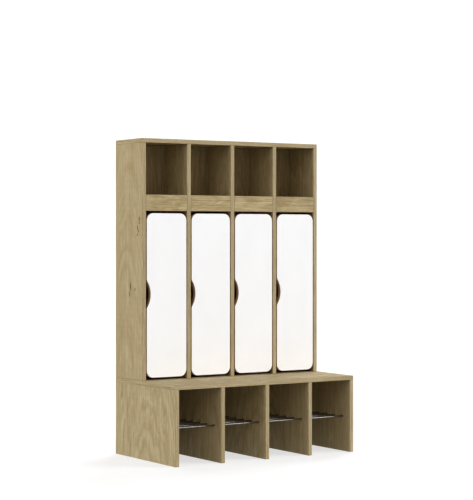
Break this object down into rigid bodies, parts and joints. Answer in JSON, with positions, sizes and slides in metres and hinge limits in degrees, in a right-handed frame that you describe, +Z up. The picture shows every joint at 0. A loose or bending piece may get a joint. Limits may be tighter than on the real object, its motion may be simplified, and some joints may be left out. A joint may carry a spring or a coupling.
{
  "type": "locker cabinet",
  "caption": "Cloakroom locker cabinet on a shoe bench: open cubbies above flush hinged doors, a seat in front, and steel rods for shoes under the seat.",
  "frame": {"origin": "centre of the footprint, on the floor", "axes": "+Z up, +X to the right of someone facing the doors, front towards -Y"},
  "size_m": [0.866, 0.486, 1.3],
  "materials": {
    "oak_board": "light natural oak decor, matt, grain along each panel",
    "white_board": "white satin lacquered board with bare brown fibre edges in the cutouts",
    "rod_steel": "bright drawn steel rod",
    "hinge_steel": "nickel-plated pressed steel",
    "hook_steel": "satin nickel"
  },
  "bodies": {
    "cabinet": {"bench_seat": "oak_board", "bench_back": "oak_board", "bench_side_left": "oak_board", "bench_side_right": "oak_board", "bench_divider_1": "oak_board", "bench_divider_2": "oak_board", "bench_divider_3": "oak_board", "shoe_rod_1": "rod_steel", "shoe_rod_2": "rod_steel", "shoe_rod_3": "rod_steel", "shoe_rod_4": "rod_steel", "shoe_rod_5": "rod_steel", "shoe_rod_6": "rod_steel", "shoe_rod_7": "rod_steel", "locker_top": "oak_board", "locker_back": "oak_board", "locker_side_left": "oak_board", "locker_side_right": "oak_board", "locker_divider_1": "oak_board", "locker_divider_2": "oak_board", "locker_divider_3": "oak_board", "fascia_1": "oak_board", "fascia_2": "oak_board", "fascia_3": "oak_board", "fascia_4": "oak_board", "shelf_1": "oak_board", "shelf_2": "oak_board", "shelf_3": "oak_board", "shelf_4": "oak_board", "hinge_arm_1_upper": "hinge_steel", "hinge_arm_1_lower": "hinge_steel", "hinge_arm_2_upper": "hinge_steel", "hinge_arm_2_lower": "hinge_steel", "hinge_arm_3_upper": "hinge_steel", "hinge_arm_3_lower": "hinge_steel", "hinge_arm_4_upper": "hinge_steel", "hinge_arm_4_lower": "hinge_steel", "coat_hook_1": "hook_steel", "coat_hook_2": "hook_steel", "coat_hook_3": "hook_steel", "coat_hook_4": "hook_steel"},
    "door_1": {"door_1": "white_board", "hinge_cup_1_upper": "hinge_steel", "hinge_cup_1_lower": "hinge_steel"},
    "door_2": {"door_2": "white_board", "hinge_cup_2_upper": "hinge_steel", "hinge_cup_2_lower": "hinge_steel"},
    "door_3": {"door_3": "white_board", "hinge_cup_3_upper": "hinge_steel", "hinge_cup_3_lower": "hinge_steel"},
    "door_4": {"door_4": "white_board", "hinge_cup_4_upper": "hinge_steel", "hinge_cup_4_lower": "hinge_steel"}
  },
  "joints": [
    {"name": "door_1_hinge", "type": "hinge", "parent": "cabinet", "child": "door_1", "pos_m": [-0.23825, 0.029, 0.6625], "axis": [0, 0, 1], "range_deg": [0, 95]},
    {"name": "door_2_hinge", "type": "hinge", "parent": "cabinet", "child": "door_2", "pos_m": [-0.02625, 0.029, 0.6625], "axis": [0, 0, 1], "range_deg": [0, 95]},
    {"name": "door_3_hinge", "type": "hinge", "parent": "cabinet", "child": "door_3", "pos_m": [0.18575, 0.029, 0.6625], "axis": [0, 0, 1], "range_deg": [0, 95]},
    {"name": "door_4_hinge", "type": "hinge", "parent": "cabinet", "child": "door_4", "pos_m": [0.39775, 0.029, 0.6625], "axis": [0, 0, 1], "range_deg": [0, 95]}
  ]
}
